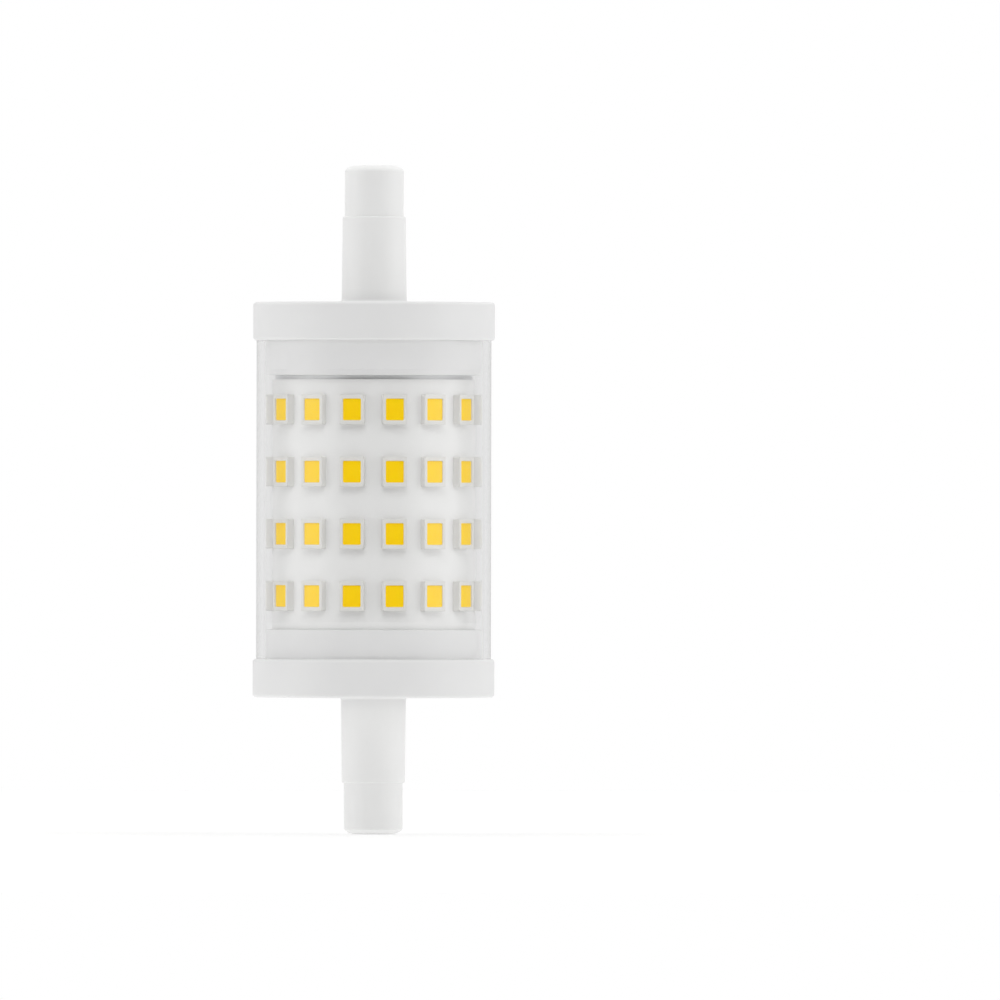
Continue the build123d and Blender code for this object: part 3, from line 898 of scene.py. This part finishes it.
bpy.ops.object.select_all(action="DESELECT")
bpy.ops.mesh.primitive_cylinder_add(
    vertices=CORE_SEGMENTS, radius=core_radius, depth=2 * core_top, end_fill_type="NOTHING"
)
core = open_piece("core_tube")
bpy.ops.object.mode_set(mode="OBJECT")
apply_modifier(core, "SOLIDIFY", thickness=core_wall, offset=-1, use_even_offset=True)
for polarity in ("positive", "negative"):
    low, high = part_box(f"led_feed_wire_{polarity}")
    middle = (low + high) / 2
    bpy.ops.object.select_all(action="DESELECT")
    bpy.ops.mesh.primitive_cylinder_add(
        vertices=PIN_SEGMENTS, radius=(high.z - low.z) / 2 + wire_hole_gap, depth=core_radius,
        location=(middle.x, core_radius, middle.z), rotation=(math.pi / 2, 0, 0),
    )
    pin = open_piece("drill_pin")
    bpy.ops.object.mode_set(mode="OBJECT")
    bpy.context.view_layer.objects.active = core
    apply_modifier(core, "BOOLEAN", object=pin, operation="DIFFERENCE", solver="EXACT")
    bpy.data.objects.remove(pin)
core.select_set(True)
bpy.ops.object.shade_smooth_by_angle(angle=SMOOTH_ANGLE)
dress(core, aluminium, "heat_sink_tube")

# %% [markdown]
# The LED board is a thin sheet rolled round the core, with its two edges a hair apart at the back.
# A cylinder is cut by two planes at the seam and the strip between them is deleted. Solidify then
# gives the sheet its thickness.

# %% LED board
BOARD_SEGMENTS = 256
board_thickness = 0.3 * MM
board_seam = 0.4 * MM
board_low, board_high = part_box("led_board")
board_radius = board_high.x

bpy.ops.object.select_all(action="DESELECT")
bpy.ops.mesh.primitive_cylinder_add(
    vertices=BOARD_SEGMENTS, radius=board_radius, depth=board_high.z - board_low.z,
    location=(0, 0, (board_low.z + board_high.z) / 2), end_fill_type="NOTHING",
)
board = open_piece("rolled_led_board")
for cut in (-board_seam / 2, board_seam / 2):
    pick(board, "faces", lambda corners: all(c.y > 0 for c in corners))
    bpy.ops.mesh.bisect(plane_co=(cut, 0, 0), plane_no=(1, 0, 0))
pick(
    board, "faces",
    lambda corners: all(c.y > 0 and abs(c.x) < board_seam / 2 + NEAR for c in corners),
)
bpy.ops.mesh.delete(type="FACE")
bpy.ops.object.mode_set(mode="OBJECT")
apply_modifier(board, "SOLIDIFY", thickness=board_thickness, offset=-1, use_even_offset=True)
bpy.ops.object.shade_smooth_by_angle(angle=SMOOTH_ANGLE)
dress(board, solder_mask, "led_board")

# %% [markdown]
# One LED package is modelled and then copied. A block at the package's size gets its window by an
# inset on the front face, and the window is pushed in with a slight taper to make the cup. Bevels
# round the block's corners and the cup's. The foot is settled on the board, whose surface curves
# away from under it.

# %% One LED package
led_width = 2.8 * MM
led_length = 3.5 * MM
led_height = 0.72 * MM
window_width = 2.15 * MM
window_length = 2.6 * MM
cup_depth = 0.42 * MM
cup_taper = math.radians(20)
corner_round = 0.14 * MM
face_round = 0.06 * MM
led_face = board_radius + led_height
cup_pull = cup_depth * math.tan(cup_taper)

bpy.ops.object.select_all(action="DESELECT")
bpy.ops.mesh.primitive_cube_add(size=1, location=(led_face - led_height / 2, 0, 0))
bpy.context.object.scale = (led_height, led_width, led_length)
package = open_piece("led_package")
pick(package, "faces", lambda corners: all(c.x > led_face - NEAR for c in corners))
rim = (led_width - window_width) / 2
bpy.ops.mesh.inset(thickness=rim)
bpy.ops.transform.resize(
    value=(1, 1, window_length / (led_length - 2 * rim)), center_override=(led_face, 0, 0)
)
bpy.ops.mesh.extrude_region_move(TRANSFORM_OT_translate={"value": (-cup_depth, 0, 0)})
bpy.ops.transform.resize(
    value=(1, 1 - 2 * cup_pull / window_width, 1 - 2 * cup_pull / window_length),
    center_override=(led_face - cup_depth, 0, 0),
)
pick(package, "edges", lambda corners: abs(corners[0].x - corners[1].x) > cup_depth / 2)
bpy.ops.mesh.bevel(offset=corner_round, segments=2, affect="EDGES")
print(f"package: {len(bmesh.from_edit_mesh(package.data).faces)} faces so far")

# %% Face edge and foot of the package
FOOT_CUTS = 3
FOOT_DIGITS = 7

pick(
    package, "edges",
    lambda corners: all(
        c.x > led_face - NEAR
        and (abs(c.y) > window_width / 2 + NEAR or abs(c.z) > led_length / 2 - rim)
        for c in corners
    ),
)
bpy.ops.mesh.bevel(offset=face_round, segments=2, affect="EDGES")
for step in range(FOOT_CUTS):
    pick(package, "faces", lambda corners: all(c.x < board_radius + NEAR for c in corners))
    cut = led_width * ((step + 1) / (FOOT_CUTS + 1) - 0.5)
    bpy.ops.mesh.bisect(plane_co=(0, cut, 0), plane_no=(0, 1, 0))
foot = [
    corner.co for corner in bmesh.from_edit_mesh(package.data).verts
    if corner.co.x < board_radius + NEAR
]
for line in sorted({round(corner.y, FOOT_DIGITS) for corner in foot}):
    pick(
        package, "verts",
        lambda corners: corners[0].x < board_radius + NEAR and abs(corners[0].y - line) < NEAR,
    )
    bpy.ops.transform.translate(value=(math.sqrt(board_radius**2 - line**2) - board_radius, 0, 0))
close_piece(package, SMALL_PART_ANGLE)
apply_modifier(package, "WEIGHTED_NORMAL", keep_sharp=True)
print(f"package: {len(package.data.polygons)} faces")

# %% [markdown]
# The phosphor fills the cup. Silicone shrinks a little as it sets, so the fill lies just below the
# rim and dips slightly inside its edge. It is a block with the cup's taper and corners, and its
# face is inset and pressed in.

# %% One phosphor fill
fill_below_rim = 0.12 * MM
fill_dip = 0.02 * MM
fill_margin = 0.12 * MM
fill_depth = cup_depth - fill_below_rim
top_pull = fill_below_rim * math.tan(cup_taper)

bpy.ops.object.select_all(action="DESELECT")
bpy.ops.mesh.primitive_cube_add(size=1, location=(led_face - fill_below_rim - fill_depth / 2, 0, 0))
bpy.context.object.scale = (fill_depth, window_width - 2 * top_pull, window_length - 2 * top_pull)
fill = open_piece("led_phosphor")
pick(fill, "faces", lambda corners: all(c.x < led_face - cup_depth + NEAR for c in corners))
bpy.ops.transform.resize(
    value=(
        1,
        (window_width - 2 * cup_pull) / (window_width - 2 * top_pull),
        (window_length - 2 * cup_pull) / (window_length - 2 * top_pull),
    ),
    center_override=(led_face - cup_depth, 0, 0),
)
pick(fill, "edges", lambda corners: abs(corners[0].x - corners[1].x) > fill_depth / 2)
bpy.ops.mesh.bevel(offset=corner_round, segments=2, affect="EDGES")
pick(fill, "faces", lambda corners: all(c.x > led_face - fill_below_rim - NEAR for c in corners))
bpy.ops.mesh.inset(thickness=fill_margin)
bpy.ops.transform.translate(value=(-fill_dip, 0, 0))
close_piece(fill, SMALL_PART_ANGLE)
apply_modifier(fill, "WEIGHTED_NORMAL", keep_sharp=True)
print(f"phosphor fill: {len(fill.data.polygons)} faces")

# %% [markdown]
# The board carries rings of LEDs, evenly spaced, with the seam between two columns. Each copy gets
# its own mesh, is turned round the axis and raised to its ring, and each ring is then joined into
# one piece, as the frame has it.

# %% Rings of LEDs
COLUMNS = 16
rings_of_leds = sorted(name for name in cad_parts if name.startswith("led_packages_ring_"))
first_column = math.radians(180 / COLUMNS - 90)


def ring_of_copies(model, name, height):
    """Copies a model round the axis at this height and joins the copies."""
    copies = []
    for column in range(COLUMNS):
        bpy.ops.object.select_all(action="DESELECT")
        model.select_set(True)
        bpy.context.view_layer.objects.active = model
        bpy.ops.object.duplicate(linked=False)
        copy = bpy.context.object
        copy.rotation_euler.z = first_column + column * 2 * math.pi / COLUMNS
        copy.location.z = height
        bpy.ops.object.transform_apply(location=True, rotation=True, scale=True)
        copies.append(copy)
    bpy.ops.object.select_all(action="DESELECT")
    for copy in copies:
        copy.select_set(True)
    bpy.context.view_layer.objects.active = copies[0]
    bpy.ops.object.join()
    copies[0].name = name
    copies[0].data.name = name
    return copies[0]


core_pieces = [core, board]
for node in rings_of_leds:
    number = node.rsplit("_", 1)[1]
    low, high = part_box(node)
    height = (low.z + high.z) / 2
    bodies = ring_of_copies(package, f"led_bodies_ring_{number}", height)
    dress(bodies, led_plastic, node)
    core_pieces.append(bodies)
    fills = ring_of_copies(fill, f"led_fills_ring_{number}", height)
    dress(fills, phosphor, f"led_phosphor_ring_{number}")
    core_pieces.append(fills)
for model in (package, fill):
    bpy.data.objects.remove(model)
print(f"LEDs: {COLUMNS * len(rings_of_leds)}")

# %% [markdown]
# Four of the soft boxes are meant for part of the lamp only. In a studio a flag would keep their
# light off the rest. In Blender each box gets a collection of the pieces that it lights. The box
# under the table shines through it, as through a translucent top, so only the lamp's own pieces
# throw shadows in its light.

# %% Aim the soft boxes
aims = ((cap_front, caps), (cap_above, caps), (cap_below, caps), (led_front, core_pieces))
for box, pieces in aims:
    group = bpy.data.collections.new(box.name + "_lights")
    for piece in pieces:
        group.objects.link(piece)
    box.light_linking.receiver_collection = group
    print(f"{box.name}: lights {len(pieces)} pieces")

lamp_only = bpy.data.collections.new("shadows_from_lamp_only")
for piece in caps + core_pieces:
    lamp_only.objects.link(piece)
cap_below.light_linking.blocker_collection = lamp_only
